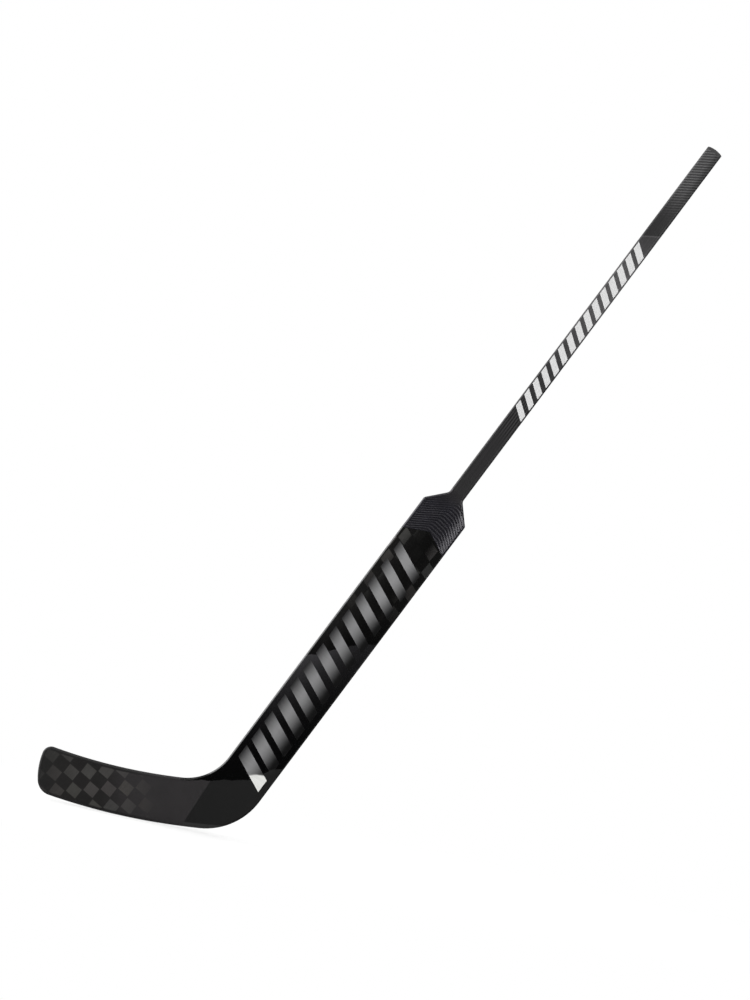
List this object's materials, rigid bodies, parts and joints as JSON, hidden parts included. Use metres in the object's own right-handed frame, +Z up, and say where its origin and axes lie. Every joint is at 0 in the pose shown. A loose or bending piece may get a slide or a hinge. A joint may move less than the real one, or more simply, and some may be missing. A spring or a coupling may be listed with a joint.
{
  "type": "hockey goalie stick",
  "caption": "Goalie stick for ice hockey: a slim shaft runs through a ribbed shoulder into a wide flat paddle, which turns at the heel into a curved blade.",
  "frame": {"origin": "the middle of the hand's grip, on the shaft's axis 33 mm above the shoulder", "axes": "+Z up with the stick standing at its lie as it is held in play, the paddle's flat faces looking along Y, the blade pointing to -X and the shaft leaning to +X"},
  "size_m": [0.9395, 0.0298, 1.3471],
  "materials": {
    "shaft_satin": "satin",
    "plug_satin": "satin",
    "shoulder_grip": "satin",
    "paddle_gloss": "gloss",
    "blade_matte": "matte",
    "blade_rim": "matte",
    "bare_laminate": "satin",
    "core_foam": "matte"
  },
  "bodies": {
    "root": {"shaft_tube": "shaft_satin", "butt_plug": "plug_satin", "shaft_spigot": "bare_laminate", "shaft_foam_core": "core_foam", "shoulder_front_grip": "shoulder_grip", "shoulder_back_grip": "shoulder_grip", "shoulder_cheek_left": "core_foam", "shoulder_cheek_right": "core_foam", "paddle_front_skin": "paddle_gloss", "paddle_back_skin": "paddle_gloss", "paddle_stringer_left": "bare_laminate", "paddle_stringer_right": "bare_laminate", "paddle_foam_left": "core_foam", "paddle_foam_middle": "core_foam", "paddle_foam_right": "core_foam", "heel_core": "core_foam", "blade_top_band": "blade_rim", "blade_toe_cap": "blade_rim", "blade_sole_band": "blade_rim", "blade_front_skin": "blade_matte", "blade_back_skin": "blade_matte", "blade_foam_upper": "core_foam", "blade_foam_lower": "core_foam", "blade_spar": "bare_laminate"}
  },
  "joints": []
}
